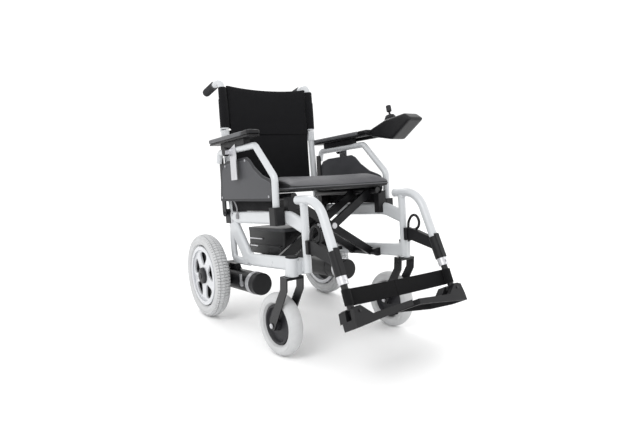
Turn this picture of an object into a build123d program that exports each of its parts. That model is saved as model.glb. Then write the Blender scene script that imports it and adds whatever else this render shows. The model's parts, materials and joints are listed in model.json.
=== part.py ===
"""Folding power wheelchair. Millimetres, +Z up, chair faces -Y, the user's right is -X."""
from build123d import *
import math
import os

# Overall sizes
WHEEL_R = 158.0            # drive wheel radius
WHEEL_W = 57.0             # drive tyre width
CASTER_R = 100.0
CASTER_W = 48.0
FRAME_X = 197.0            # centre plane of each side frame, from the middle of the chair
WHEEL_X = FRAME_X + 76.0   # drive wheel centre plane
PITCH = 6.5                # the frame's rise towards the front, degrees
CLEAR = 0.5                # running clearance between neighbours

# Side frame, in the chassis plane: y forward is negative, z is measured square to the rails
TUBE_TALL, TUBE_WIDE = 44.0, 22.0
RAIL_REAR_Y, RAIL_Z = -84.0, 217.0
POST_Y, POST_R = -592.0, 12.0
POST_BOTTOM_Z, POST_TOP_Z = 56.0, 255.0
LOWER_Z = 70.0
REAR_POST_Y = -88.0
CASTER_Y, CASTER_X = -545.0, FRAME_X + 34.0       # level frame: caster stem
HOUSING_R, HOUSING_LOW, HOUSING_HIGH = 20.5, 268.0, 324.0
STEM_R = 9.0
TRAIL = 62.0
SWIVEL_RIGHT, SWIVEL_LEFT = 4.0, 1.0

# Cross brace and seat
BRACE_X = FRAME_X - 25.0
BRACE_LOW_Z, SEAT_TUBE_Z = 66.0, 284.0
BRACE_BAR, BRACE_THICK = 28.0, 12.0
BRACE_YS = (-452.0, -362.0)
SEAT_TUBE_R = 11.0
SEAT_REAR_Y, SEAT_FRONT_Y = -112.0, -527.0
SEAT_HALF, SEAT_THICK = FRAME_X - 1.0, 52.0

# Back
CANE_X, CANE_R, CANE_Y = FRAME_X - 5.0, 12.5, -76.0
CANE_BOTTOM_Z, FOLD_Z, CANE_TOP_Z = 205.0, 545.0, 735.0
SLEEVE_R = CANE_R + 3
KNUCKLE_Y = CANE_Y + SLEEVE_R + 5.7      # axis of the half-fold, behind the cane
GRIP_R, GRIP_L = 15.0, 88.0
BACK_HALF, BACK_THICK = CANE_X - 16.0, 16.0

# Hanger and footrest
HANGER_R, HANGER_Z = 13.5, 272.0
LEG_ANGLE = 67.6           # below the forward direction
LEG_CORNER_Y = -668.0
LEG_R = 10.0
SLEEVE_END, CLAMP_END = 228.0, 252.0   # from the hanger's corner, down the leg
HINGE_T = 330.0            # from the hanger's corner down to the footplate hinge
PLATE_DROP, PLATE_THICK = 43.0, 24.0
PLATE_FRONT, PLATE_REAR = 28.0, -85.0
PLATE_INNER_RIGHT, PLATE_INNER_LEFT = 2.0, 24.0
PLATE_OUTER_X, PLATE_TILT, PLATE_TAPER = FRAME_X + 17.0, 4.0, 8.0
HINGE_X = FRAME_X - 7.0

# Armrest
ARM_X, ARM_R = FRAME_X + 31.0, 11.0
ARM_PIVOT_Y, ARM_PIVOT_Z = -80.0, 235.0
SOCKET_Y, SOCKET_LOW, SOCKET_HIGH = -480.0, 200.0, 253.0
ARM_TOP_Z = 456.0
PAD_X, PAD_W, PAD_T = ARM_X + 4.6, 49.0, 22.0
PAD_LIFT = 18.0            # from the arm tube up to the pad
PAD_REAR_Y, PAD_FRONT_Y = -62.0, -382.0
PAD_FRONT_LEFT_Y = -412.0
PANEL_X, PANEL_T = FRAME_X + 27.3, 4.0

# Drive and battery
MOTOR_R, MOTOR_Z, MOTOR_REAR_Y, MOTOR_FRONT_Y = 39.0, -17.0, -44.0, -282.0
MOTOR_X = FRAME_X - 8.0
BATTERY_HALF, BATTERY_REAR_Y, BATTERY_FRONT_Y = 106.0, -40.0, -312.0
BATTERY_LOW, BATTERY_HIGH = 84.0, 170.0

# Controller
BOX_X, BOX_W = ARM_X + 22.0, 66.0
BOX_Y, BOX_Z, BOX_TILT = -527.0, 505.0, 10.0
BOX_REAR, BOX_FRONT, BOX_TOP, BOX_KEEL = 104.0, -106.0, 27.0, -50.0
STICK_Y, STICK_TOP = 20.0, 81.0
BUTTON_YS = (-24.0, -44.0)
BUTTON_FLOOR, BUTTON_RISE = 9.0, 13.0
DIAL_X, DIAL_Y = 19.0, -36.0

FORWARD = math.radians(PITCH)


def leg_point(t, side=0.0):
    """Point t down the leg from the hanger's corner, and side forward of it."""
    a = math.radians(LEG_ANGLE)
    y = LEG_CORNER_Y - t * math.cos(a) - side * math.sin(a)
    z = HANGER_Z - t * math.sin(a) + side * math.cos(a)
    return y, z


def level(y, z):
    """Chassis plane to the level frame whose floor is z = 0 and whose drive axle is at y = 0."""
    cos, sin = math.cos(FORWARD), math.sin(FORWARD)
    return y * cos + z * sin, WHEEL_R - y * sin + z * cos


PLATE_TIP = level(*leg_point(HINGE_T + PLATE_DROP - PLATE_THICK, PLATE_FRONT))[0]
FRONT_Y = min(PLATE_TIP, level(*leg_point(HINGE_T + PLATE_DROP, PLATE_FRONT))[0])
SHIFT_Y = -(WHEEL_R + FRONT_Y) / 2


def placed(shape):
    """Chassis-plane shape into the part's own frame."""
    return Pos(0, SHIFT_Y, WHEEL_R) * Rot(X=-PITCH) * shape


def levelled(shape):
    return Pos(0, SHIFT_Y, 0) * shape


def other_side(shape):
    return mirror(shape, about=Plane.YZ)


def path_yz(points, x, radii):
    spots = [Vector(x, y, z) for y, z in points]
    return FilletPolyline(*spots, radius=radii) if len(spots) > 2 else Line(*spots)


def round_tube(points, x, radius, bend):
    """Bent round tube in a plane of constant x, with closed ends."""
    path = path_yz(points, x, bend)
    start = Plane(origin=path @ 0, z_dir=path % 0)
    return sweep(start * Circle(radius), path=path)


def oval_tube(points, x, tall, wide, bend):
    path = path_yz(points, x, bend)
    start = Plane(origin=path @ 0, x_dir=(1, 0, 0), z_dir=path % 0)
    return sweep(start * SlotOverall(tall, wide, rotation=90), path=path)


def rod(a, b, radius):
    a, b = Vector(*a), Vector(*b)
    return Plane(origin=a, z_dir=b - a) * extrude(Circle(radius), (b - a).length)


def box(low, high, edge=0.0):
    size = [h - l for l, h in zip(low, high)]
    middle = [(h + l) / 2 for l, h in zip(low, high)]
    solid = Pos(*middle) * Box(*size)
    return fillet(solid.edges(), edge) if edge else solid


def plate_yz(points, x_low, x_high, corner=0.0):
    """Flat plate whose outline is drawn in y and z."""
    face = Plane.YZ * make_face(Polyline(*points, close=True))
    if corner:
        face = fillet(face.vertices(), corner)
    return Pos(x_low, 0, 0) * extrude(face, x_high - x_low, dir=(1, 0, 0))


def plate_xz(points, y_low, y_high):
    face = make_face(Polyline(*[Vector(x, y_low, z) for x, z in points], close=True))
    return extrude(face, y_high - y_low, dir=(0, 1, 0))


# ---- side frame -------------------------------------------------------------------------

def side_frame():
    """Right side frame: one weldment of oval tubes, a front post and the caster housing."""
    x = -FRAME_X
    lower = oval_tube([(-108, RAIL_Z - 14), (-222, LOWER_Z - 3), (POST_Y + 3, LOWER_Z + 7)],
                      x, TUBE_TALL, TUBE_WIDE, 60)
    brace = oval_tube([(-94, RAIL_Z - 22), (-205, LOWER_Z - 3)], x, TUBE_TALL, TUBE_WIDE, 0)
    rear = oval_tube([(RAIL_REAR_Y - 12, RAIL_Z - 6), (REAR_POST_Y, 130), (REAR_POST_Y - 4, 58),
                      (-215, 57)], x, 28, 20, (90, 26))
    post = rod((x, POST_Y, POST_BOTTOM_Z), (x, POST_Y, POST_TOP_Z), POST_R)
    post -= rod((x, POST_Y, POST_TOP_Z - 40), (x, POST_Y, POST_TOP_Z + 1), 8.6)
    frame = upper_rail() + lower + brace + rear + post + cane_lower()
    return placed(frame) + levelled(caster_housing())


def upper_rail():
    points = [(RAIL_REAR_Y, RAIL_Z - 1), (-508, RAIL_Z + 2), (POST_Y + 3, RAIL_Z - 25)]
    return oval_tube(points, -FRAME_X, TUBE_TALL, TUBE_WIDE, 120)


def cane_lower():
    """Lower stub of the back cane, welded to the rail's rear end."""
    points = [(RAIL_REAR_Y - 10, CANE_BOTTOM_Z + 16), (CANE_Y - 8, 330), (CANE_Y, FOLD_Z - 3)]
    tube = round_tube(points, -CANE_X, CANE_R, 400)
    collar = rod((-CANE_X, CANE_Y, FOLD_Z - 40), (-CANE_X, CANE_Y, FOLD_Z - 3), SLEEVE_R)
    return tube + collar + knuckle(-CANE_X, 4, FOLD_Z - 16, FOLD_Z - 1)


def knuckle(x, half, low, high):
    """Hinge eye behind the cane with the web that ties it to the sleeve."""
    eye = rod((x - half, KNUCKLE_Y, FOLD_Z - 1), (x + half, KNUCKLE_Y, FOLD_Z - 1), 5)
    return eye + box((x - half, CANE_Y + CANE_R, low), (x + half, KNUCKLE_Y + 1, high))


def caster_housing():
    axis = Pos(-CASTER_X, CASTER_Y, HOUSING_LOW)
    shell = axis * extrude(Circle(HOUSING_R), HOUSING_HIGH - HOUSING_LOW)
    arm = box((-CASTER_X + 8, CASTER_Y - 22, HOUSING_LOW + 6), (-FRAME_X, CASTER_Y + 14, HOUSING_HIGH - 8))
    bore = axis * extrude(Circle(STEM_R + CLEAR), HOUSING_HIGH - HOUSING_LOW)
    return shell + arm - bore


def saddle(y):
    """Cradle on the upper rail that carries the seat tube."""
    low = RAIL_Z - TUBE_TALL / 4
    block = box((-FRAME_X - 4, y - 12, low), (-BRACE_X + 4, y + 12, SEAT_TUBE_Z - 2))
    block -= upper_rail()
    return block - rod((-BRACE_X, y - 20, SEAT_TUBE_Z), (-BRACE_X, y + 20, SEAT_TUBE_Z), SEAT_TUBE_R + 0.3)


def arm_socket():
    x = -ARM_X
    block = box((x - 16, SOCKET_Y - 21, SOCKET_LOW - 4), (-FRAME_X - TUBE_WIDE / 2, SOCKET_Y + 21, SOCKET_HIGH))
    block = fillet(block.edges().filter_by(Axis.Z), 6)
    hole = Pos(x, SOCKET_Y, SOCKET_LOW) * SlotOverall(2 * ARM_R + 10, 2 * ARM_R + 1, rotation=90)
    return block - extrude(hole, SOCKET_HIGH - SOCKET_LOW + 1)


def pivot_ears():
    """Ears on the lower rail that hold the brace's lower pivot tube."""
    ears = []
    for y in (BRACE_YS[0] - 26, BRACE_YS[1] + 26):
        ear = box((-FRAME_X + TUBE_WIDE / 2, y - 4, BRACE_LOW_Z - 14), (-BRACE_X, y + 4, BRACE_LOW_Z + 14))
        ear += rod((-BRACE_X, y - 4, BRACE_LOW_Z), (-BRACE_X, y + 4, BRACE_LOW_Z), 14)
        ears.append(ear)
    return ears


def pivot_lug():
    """Lug behind the side panel that the armrest turns on, with its pin."""
    x = -FRAME_X - TUBE_WIDE / 2
    base = box((x - 3, ARM_PIVOT_Y - 22, ARM_PIVOT_Z - 40), (x, ARM_PIVOT_Y + 14, ARM_PIVOT_Z + 14))
    return base + rod((x, ARM_PIVOT_Y, ARM_PIVOT_Z), (x - 16, ARM_PIVOT_Y, ARM_PIVOT_Z), 5)


def carrier_bar(y, reach):
    """Bar under the battery tray, from the lower rail inwards."""
    low = BATTERY_LOW - 24
    return box((-FRAME_X + TUBE_WIDE / 2, y - 7, low), (-reach, y + 7, low + 12))


def housing_cap():
    top = Pos(-CASTER_X, CASTER_Y, HOUSING_HIGH) * extrude(Circle(HOUSING_R - 0.5), 4)
    return fillet(top.edges().group_by(Axis.Z)[-1], 2.5)


def fittings(bar_y):
    """Black fittings fixed to a side frame."""
    pieces = [saddle(-496), saddle(-150), arm_socket(), pivot_lug(), carrier_bar(bar_y, 20)]
    pieces += pivot_ears()
    return [placed(p) for p in pieces] + [levelled(housing_cap())]


def cane_upper():
    x = -CANE_X
    tube = round_tube([(CANE_Y, FOLD_Z + 1), (CANE_Y - 1, CANE_TOP_Z - 45), (-58, CANE_TOP_Z - 6),
                       (10, CANE_TOP_Z - 16), (60, CANE_TOP_Z - 24)],
                      x, CANE_R - 0.5, (30, 30, 200))
    sleeve = rod((x, CANE_Y, FOLD_Z + 1), (x, CANE_Y, FOLD_Z + 116), SLEEVE_R)
    for side in (-1, 1):
        sleeve += knuckle(x + side * 7, 2.5, FOLD_Z - 1, FOLD_Z + 14)
    lever = box((x - 5, CANE_Y + CANE_R, FOLD_Z + 24), (x + 5, CANE_Y + CANE_R + 18, FOLD_Z + 50), 2)
    return placed(tube + sleeve + lever)


def push_grip():
    start, end = Vector(-CANE_X, -12, CANE_TOP_Z - 12.5), Vector(-CANE_X, 74, CANE_TOP_Z - 26)
    along = end - start
    grip = Plane(origin=start, z_dir=along) * extrude(Circle(GRIP_R), along.length)
    grip = fillet(grip.edges(), 3)
    hole = Plane(origin=start - along, z_dir=along) * extrude(Circle(CANE_R), 1.88 * along.length)
    return placed(grip - hole)


# ---- drive ------------------------------------------------------------------------------

def gear_case():
    """Angle gearbox between the wheel and the motor, hung from the rear stub."""
    inner, outer = -MOTOR_X + MOTOR_R, -FRAME_X - 43.0
    body = rod((inner, 0, 0), (outer, 0, 0), 44)
    body += box((inner - 76, MOTOR_REAR_Y - 8, MOTOR_Z - 34), (inner, 0, MOTOR_Z + 34), 5)
    hanger = box((-FRAME_X - 10, -112, 20), (-FRAME_X + 10, -64, 43.4))
    hanger += box((-FRAME_X - 10, -100, -10), (-FRAME_X + 10, -40, 24))
    shaft = rod((outer, 0, 0), (outer - 50, 0, 0), 8)
    case = body + hanger + shaft
    return placed(case - motor_space(0.0))


def motor_space(extra):
    return rod((-MOTOR_X, MOTOR_REAR_Y - 8, MOTOR_Z), (-MOTOR_X, MOTOR_FRONT_Y, MOTOR_Z), MOTOR_R + extra)


def motor():
    body = rod((-MOTOR_X, MOTOR_REAR_Y - 8, MOTOR_Z), (-MOTOR_X, MOTOR_FRONT_Y, MOTOR_Z), MOTOR_R)
    body = fillet(body.edges().group_by(Axis.Y)[0], 5)
    for y in (-176, -228):
        groove = rod((-MOTOR_X, y, MOTOR_Z), (-MOTOR_X, y + 3, MOTOR_Z), MOTOR_R + 1)
        body -= groove - rod((-MOTOR_X, y, MOTOR_Z), (-MOTOR_X, y + 3, MOTOR_Z), MOTOR_R - 1.5)
    return placed(body)


def freewheel_lever():
    """Small lever on the motor's outer face that lets the wheel run free."""
    x = -MOTOR_X - MOTOR_R
    boss = rod((x - 0.5, -205, MOTOR_Z), (x - 7, -205, MOTOR_Z), 10)
    arm = box((x - 7, -211, MOTOR_Z), (x - 3, -199, MOTOR_Z + 34))
    return placed(boss + arm)


def drive_rim():
    """Five-spoke wheel centre with its hub."""
    rim_r, window_r, hub_r = 112.0, 96.0, 44.0
    half = WHEEL_W / 2
    outline = Polyline((9, -18), (hub_r, -18), (hub_r + 3, -9), (window_r - 2, -9), (window_r, -half + 6),
                       (rim_r, -half + 6), (rim_r, half - 6), (window_r, half - 6), (window_r - 2, 5),
                       (hub_r + 3, 5), (hub_r, 16), (30, 16), (30, 11), (9, 11), close=True)
    body = revolve(Plane.XZ * make_face(outline), Axis.Z)
    for i in range(5):
        window = make_face(Polyline((hub_r + 12, -12), (window_r - 12, -20), (window_r - 5, 0),
                                    (window_r - 12, 20), (hub_r + 12, 12), close=True))
        window = fillet(window.vertices(), 5)
        body -= Rot(Z=72 * i + 18) * Pos(0, 0, -12) * extrude(window, 24)
        body += Rot(Z=72 * i + 54) * Pos(37, 0, 15) * extrude(RegularPolygon(4.5, 6), 4)
    return body


def drive_tyre():
    half, rim_r = WHEEL_W / 2, 112.3
    tread = 8
    outline = Polyline((rim_r, -half + 9), (rim_r + 8, -half + 1), (WHEEL_R - 22, -half), (WHEEL_R - tread, -half + 7),
                       (WHEEL_R, -half + 15), (WHEEL_R, half - 15), (WHEEL_R - tread, half - 7),
                       (WHEEL_R - 22, half), (rim_r + 8, half - 1), (rim_r, half - 9), close=True)
    return revolve(Plane.XZ * make_face(outline), Axis.Z)


def on_drive_axle(wheel):
    """Stand a wheel made about Z on the right drive axle, outer face to -X."""
    return Pos(-WHEEL_X, SHIFT_Y, WHEEL_R) * Rot(Y=-90) * wheel


# ---- casters ----------------------------------------------------------------------------

def on_caster_stem(shape, swivel):
    return Pos(-CASTER_X, CASTER_Y + SHIFT_Y, 0) * Rot(Z=swivel) * shape


def caster_fork():
    """Crown, stem, two flat blades and the axle."""
    inside, thick, top = CASTER_W / 2 + 4, 4.0, HOUSING_LOW - 1
    crown = box((-inside - thick, -17, top - 8), (inside + thick, 17, top))
    fork = crown + rod((0, 0, top), (0, 0, HOUSING_HIGH - 2), STEM_R)
    outline = [(-17, top), (-17, top - 40), (TRAIL - 15, 96), (TRAIL - 9, 86), (TRAIL + 9, 86),
               (TRAIL + 15, 96), (TRAIL + 14, 118), (17, top - 40), (17, top)]
    blade = plate_yz(outline, 0, thick)
    for x in (-inside - thick, inside):
        fork += Pos(x, 0, 0) * blade
    axle = rod((-inside - thick - 5, TRAIL, CASTER_R), (inside + thick + 5, TRAIL, CASTER_R), 5)
    return fork + axle


def caster_hub():
    half = CASTER_W / 2
    outline = Polyline((5.05, -half - 2), (17, -half - 2), (19, -10), (52, -8), (56, -16), (62, -16), (62, 16),
                       (56, 16), (52, 8), (19, 10), (17, half + 2), (5.05, half + 2), close=True)
    hub = revolve(Plane.XZ * make_face(outline), Axis.Z)
    return Pos(0, TRAIL, CASTER_R) * Rot(Y=-90) * hub


def caster_tyre():
    half, inner = CASTER_W / 2, 62.3
    outline = Polyline((inner, -half + 8), (inner + 6, -half + 1), (CASTER_R - 16, -half), (CASTER_R - 5, -half + 7),
                       (CASTER_R, -half + 17), (CASTER_R, half - 17), (CASTER_R - 5, half - 7),
                       (CASTER_R - 16, half), (inner + 6, half - 1), (inner, half - 8), close=True)
    tyre = revolve(Plane.XZ * make_face(outline), Axis.Z)
    return Pos(0, TRAIL, CASTER_R) * Rot(Y=-90) * tyre


# ---- brace, seat and back ---------------------------------------------------------------

def brace(first):
    """One leg pair of the cross: lower pivot tube on the right, seat tube on the left."""
    low, high = (-BRACE_X, BRACE_LOW_Z), (BRACE_X, SEAT_TUBE_Z)
    length = math.dist(low, high)
    slope = math.degrees(math.atan2(high[1] - low[1], high[0] - low[0]))
    bars = []
    for y in BRACE_YS:
        near = y - BRACE_THICK - 0.6 if first else y + 0.6
        bar = Pos(length / 2 - 3, near + BRACE_THICK / 2, 0) * Box(length - 6, BRACE_THICK, BRACE_BAR)
        bars.append(Pos(low[0], 0, low[1]) * Rot(Y=-slope) * bar)
    pivot = rod((low[0], BRACE_YS[0] - 21.5, low[1]), (low[0], BRACE_YS[1] + 21.5, low[1]), 12)
    seat = rod((high[0], SEAT_FRONT_Y + 26, high[1]), (high[0], SEAT_REAR_Y - 18, high[1]), SEAT_TUBE_R)
    part = pivot + seat
    for bar in bars:
        part += bar
    part -= rod((low[0], BRACE_YS[0] - 30, low[1]), (low[0], BRACE_YS[1] + 30, low[1]), 5.05)
    return part


def brace_pins():
    """Lower pivot rod, held in the frame's ears."""
    return rod((-BRACE_X, BRACE_YS[0] - 30, BRACE_LOW_Z), (-BRACE_X, BRACE_YS[1] + 30, BRACE_LOW_Z), 5)


def brace_pivot():
    """Bolt at the middle of the cross, seated in the front leg of each pair."""
    z = (BRACE_LOW_Z + SEAT_TUBE_Z) / 2
    bolts = []
    for y in BRACE_YS:
        front = y - BRACE_THICK - 0.6
        bolt = rod((0, front - 6, z), (0, front, z), 10)
        bolts.append(bolt)
    return [placed(b) for b in bolts]


def seat_cushion():
    bottom = SEAT_TUBE_Z + SEAT_TUBE_R + 0.6
    top = bottom + SEAT_THICK
    block = box((-SEAT_HALF, SEAT_FRONT_Y, bottom), (SEAT_HALF, SEAT_REAR_Y, top))
    front = block.edges().filter_by(Axis.X).sort_by(Axis.Y)[:2]
    block = fillet(front, 22)
    block = fillet(block.edges().filter_by(Axis.Z), 10)
    return placed(block)


def back_pad(low, high):
    y = CANE_Y - BACK_THICK / 2
    pad = box((-BACK_HALF, y, low), (BACK_HALF, y + BACK_THICK, high), 5)
    return placed(pad)


# ---- battery ----------------------------------------------------------------------------

def battery_box():
    box_ = box((-BATTERY_HALF, BATTERY_FRONT_Y, BATTERY_LOW), (BATTERY_HALF, BATTERY_REAR_Y, BATTERY_HIGH), 5)
    handle = box((-45, BATTERY_REAR_Y, 118), (45, BATTERY_REAR_Y + 16, 130))
    handle -= box((-38, BATTERY_REAR_Y - 1, 117), (38, BATTERY_REAR_Y + 9, 131))
    return placed(box_ + handle)


def battery_tray():
    low = BATTERY_LOW - 11.7
    half = BATTERY_HALF + 3.5
    tray = box((-half, BATTERY_FRONT_Y - 4, low), (half, BATTERY_REAR_Y - 6, low + 3))
    for side in (-1, 1):
        edge = side * half
        tray += box((min(edge, edge - 3 * side), BATTERY_FRONT_Y - 4, low),
                    (max(edge, edge - 3 * side), BATTERY_REAR_Y - 6, low + 34))
    front = box((-half, BATTERY_FRONT_Y - 4, low), (half, BATTERY_FRONT_Y - 1, low + 26))
    runners = box((-half + 14, BATTERY_FRONT_Y - 1, low + 3), (-half + 26, BATTERY_REAR_Y - 6, low + 11.4))
    tray = tray + front + runners + other_side(runners)
    return placed(tray)


# ---- hanger and footrest ----------------------------------------------------------------

def hanger_tube():
    x = -FRAME_X
    tube = round_tube([(POST_Y + 34, HANGER_Z), (LEG_CORNER_Y, HANGER_Z), leg_point(166)], x, HANGER_R, 84)
    pin = rod((x, POST_Y, POST_TOP_Z - 30), (x, POST_Y, HANGER_Z - 6), 8.5)
    collar = rod((x, POST_Y, POST_TOP_Z + 0.4), (x, POST_Y, HANGER_Z - 8), POST_R + 1)
    return placed(tube + pin + collar)


def hanger_shell():
    """Black casting that latches to the post and sleeves the leg."""
    x = -FRAME_X
    outline = [(POST_Y - 13.5, 112), (POST_Y - 13.5, 152), (-640, 152), leg_point(146, -17), leg_point(150, 17),
               leg_point(SLEEVE_END, 17), leg_point(SLEEVE_END, -17), leg_point(190, -17), (-640, 112)]
    web = plate_yz(outline, x - 8, x + 8)
    sleeve = rod((x, *leg_point(156)), (x, *leg_point(SLEEVE_END)), HANGER_R + 3)
    latch = box((x - 14, POST_Y - 28, 112), (x + 14, POST_Y - 13.5, 154), 3)
    body = web + sleeve + latch
    body -= rod((x, *leg_point(100)), (x, *leg_point(210)), HANGER_R)
    return placed(body - rod((x, *leg_point(200)), (x, *leg_point(300)), LEG_R))


def leg_clamp():
    """Split collar that sets the leg's length, with its pinch bolt."""
    x = -FRAME_X
    collar = rod((x, *leg_point(SLEEVE_END + 0.3)), (x, *leg_point(CLAMP_END)), LEG_R + 5)
    middle = (SLEEVE_END + CLAMP_END) / 2
    bolt = rod((x, *leg_point(middle, 0)), (x, *leg_point(middle, LEG_R + 9)), 4)
    return placed(collar + bolt - rod((x, *leg_point(200)), (x, *leg_point(300)), LEG_R))


def leg_tube():
    x = -FRAME_X
    tube = rod((x, *leg_point(200)), (x, *leg_point(HINGE_T - 8)), LEG_R)
    barrel = rod((-HINGE_X, *leg_point(HINGE_T, -11)), (-HINGE_X, *leg_point(HINGE_T, 11)), 12)
    return placed(tube + barrel + foot_pin())


def foot_pin():
    return rod((-HINGE_X, *leg_point(HINGE_T, -46)), (-HINGE_X, *leg_point(HINGE_T, 31)), 4)


def heel_strap():
    """Right half of the webbing behind the heels, sewn round the leg tube."""
    x, t = -FRAME_X, 286.0
    low, high = leg_point(t + 22), leg_point(t - 22)
    loop = rod((x, *low), (x, *high), LEG_R + 3) - rod((x, *low), (x, *high), LEG_R + 0.4)
    a, b = leg_point(t + 22, -LEG_R - 0.4), leg_point(t - 22, -LEG_R - 0.4)
    c, d = leg_point(t - 22, -LEG_R - 3), leg_point(t + 22, -LEG_R - 3)
    band = plate_yz([a, b, c, d], x, -1)
    return placed(loop + band)


def footplate(inner_x):
    """Ribbed plate, its two ears on the leg's hinge, lying square to the leg."""
    def at(x, drop, side):
        y, z = leg_point(HINGE_T + drop, side)
        return Vector(x, y, z)
    rise = (PLATE_OUTER_X - inner_x) * math.tan(math.radians(PLATE_TILT))
    bottom, top = PLATE_DROP, PLATE_DROP - PLATE_THICK

    def slab(outline, rear, front):
        face = make_face(Polyline(*[at(x, drop, rear) for x, drop in outline], close=True))
        return extrude(face, front - rear, dir=at(0, 0, 1) - at(0, 0, 0))

    outline = [(-PLATE_OUTER_X, bottom), (-PLATE_OUTER_X, top), (-inner_x, top - rise),
               (-inner_x, bottom - rise - PLATE_TAPER)]
    plate = slab(outline, PLATE_REAR, PLATE_FRONT) - corner_cut(at, 0)
    ear = [(-PLATE_OUTER_X, top + 2), (-PLATE_OUTER_X + 4, -9), (-HINGE_X - 6, -14), (-HINGE_X + 6, -14),
           (-HINGE_X + 40, top - 4)]
    plate += slab(ear, -44, -12)
    plate += slab(ear, 12, PLATE_FRONT)
    hollow = [(-PLATE_OUTER_X + 8, bottom + 1), (-PLATE_OUTER_X + 8, top + 6),
              (-inner_x - 8, top + 6 - rise), (-inner_x - 8, bottom + 1 - rise)]
    plate -= slab(hollow, PLATE_REAR + 6, PLATE_FRONT - 6) - corner_cut(at, 9)
    near, far = at(-HINGE_X, 0, -60), at(-HINGE_X, 0, 60)
    plate -= rod(tuple(near), tuple(far), 4.05)
    return placed(plate)


def corner_cut(at, grow):
    """What the plate's outer rear corner is cut back by, grown inwards by a wall."""
    across, deep = -PLATE_OUTER_X + 58 + grow, -24 + grow
    edge = [(-PLATE_OUTER_X - 9, deep), (-PLATE_OUTER_X - 9, PLATE_REAR - 9), (across, PLATE_REAR - 9)]
    face = make_face(Polyline(*[at(x, -20, side) for x, side in edge], close=True))
    return extrude(face, 120, dir=at(0, 1, 0) - at(0, 0, 0))


# ---- armrest ----------------------------------------------------------------------------

def arm_rail(low):
    """The armrest's bent tube, from its foot in the socket over to the curled rear end."""
    points = [(SOCKET_Y, low), (-486, 345), (-372, ARM_TOP_Z), (-96, ARM_TOP_Z), (-84, 420)]
    return round_tube(points, -ARM_X, ARM_R, (30, 26, 13))


def arm_tube():
    return placed(arm_rail(SOCKET_LOW + 1))


def arm_pad(front):
    x = -PAD_X
    low = ARM_TOP_Z + ARM_R + PAD_LIFT
    pad = box((x - PAD_W / 2, front, low), (x + PAD_W / 2, PAD_REAR_Y, low + PAD_T), 7)
    return placed(pad)


def arm_bracket():
    """Channel under the pad, the clamp plate, the lock knob and the rear leg with its pivot eye."""
    low = ARM_TOP_Z + ARM_R
    channel = box((-ARM_X - 12, -316, low - 2), (-ARM_X + 12, -132, low + PAD_LIFT - 0.3))
    clamp = box((-ARM_X - 14, -252, 351), (-ARM_X - ARM_R, -206, low + 6))
    knob = rod((-ARM_X - 14, -193, 452), (-ARM_X - 30, -193, 452), 15)
    stem = box((-ARM_X - 14, -207, 444), (-ARM_X - ARM_R, -184, 460))
    inner = -FRAME_X - TUBE_WIDE / 2 - 9
    leg = plate_yz([(-98, 440), (-72, 440), (-66, ARM_PIVOT_Z), (-94, ARM_PIVOT_Z)], inner - 5, inner)
    eye = rod((inner - 5, ARM_PIVOT_Y, ARM_PIVOT_Z), (inner, ARM_PIVOT_Y, ARM_PIVOT_Z), 14)
    part = channel + clamp + knob + stem
    hole = rod((inner - 9, ARM_PIVOT_Y, ARM_PIVOT_Z), (inner + 9, ARM_PIVOT_Y, ARM_PIVOT_Z), 5.06)
    arm = arm_rail(SOCKET_LOW)
    return [placed(part - arm), placed(leg + eye - hole - arm)]


def side_panel():
    outline = [(-68, 279), (-452, 272), (-466, 288), (-464, 334), (-448, 342), (-400, 358), (-352, 387),
               (-322, 414), (-300, 424), (-150, 422), (-112, 414), (-88, 392)]
    panel = plate_yz(outline, -PANEL_X - PANEL_T / 2, -PANEL_X + PANEL_T / 2, 6)
    return placed(panel)


# ---- controller -------------------------------------------------------------------------

def in_box(shape):
    """Controller shapes are made level about the case's middle, then tipped up at the front."""
    return placed(Pos(BOX_X, BOX_Y, BOX_Z) * Rot(X=-BOX_TILT) * shape)


def controller_case():
    """Wedge case with a keel, a boot collar, and holes for the two buttons and the dial."""
    outline = [(BOX_REAR - 2, -10), (BOX_REAR, BOX_TOP - 9), (STICK_Y, BOX_TOP), (BOX_FRONT + 28, BOX_TOP - 8),
               (BOX_FRONT, -8), (0, BOX_KEEL)]
    case = plate_yz(outline, -BOX_W / 2, BOX_W / 2, 5)
    case += Pos(0, STICK_Y, BOX_TOP - 3) * Cone(22, 13, 22, align=(Align.CENTER, Align.CENTER, Align.MIN))
    case -= Pos(0, STICK_Y, BOX_TOP - 13) * extrude(Circle(11), 50)
    for y in BUTTON_YS:
        case -= Pos(0, y, BUTTON_FLOOR) * extrude(Circle(6.4), 30)
    case -= Pos(DIAL_X, DIAL_Y, BUTTON_FLOOR) * extrude(Circle(7.4), 30)
    case += Pos(-BOX_W / 2 + 12, BOX_REAR - 6, 0) * Rot(X=-90) * extrude(Circle(6), 14)
    return in_box(case) - placed(controller_bar())


def controller_bar():
    top = ARM_TOP_Z + ARM_R + PAD_LIFT - 0.3
    return box((BOX_X - 5, BOX_Y + 20, top - 10), (BOX_X + 5, -226, top))


def controller_arm():
    """Square bar under the left armrest pad that carries the case."""
    return placed(controller_bar())


def joystick():
    rise = STICK_TOP - BOX_TOP
    stem = extrude(Circle(3.5), rise)
    knob = Pos(0, 0, rise - 16) * extrude(Circle(9), 24)
    return in_box(Pos(0, STICK_Y, BOX_TOP - 8) * (stem + fillet(knob.edges(), 4)))


def joystick_gimbal():
    ring = extrude(Circle(10.3), 6) - extrude(Circle(4.4), 6)
    return in_box(Pos(0, STICK_Y, BOX_TOP - 9.7) * ring)


def button(y):
    return in_box(Pos(0, y, BUTTON_FLOOR + 4) * extrude(Circle(6), BUTTON_RISE))


def speed_dial():
    return in_box(Pos(DIAL_X, DIAL_Y, BUTTON_FLOOR + 0.3) * extrude(Circle(7), BUTTON_RISE + 6))


# ---- writing ----------------------------------------------------------------------------

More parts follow.
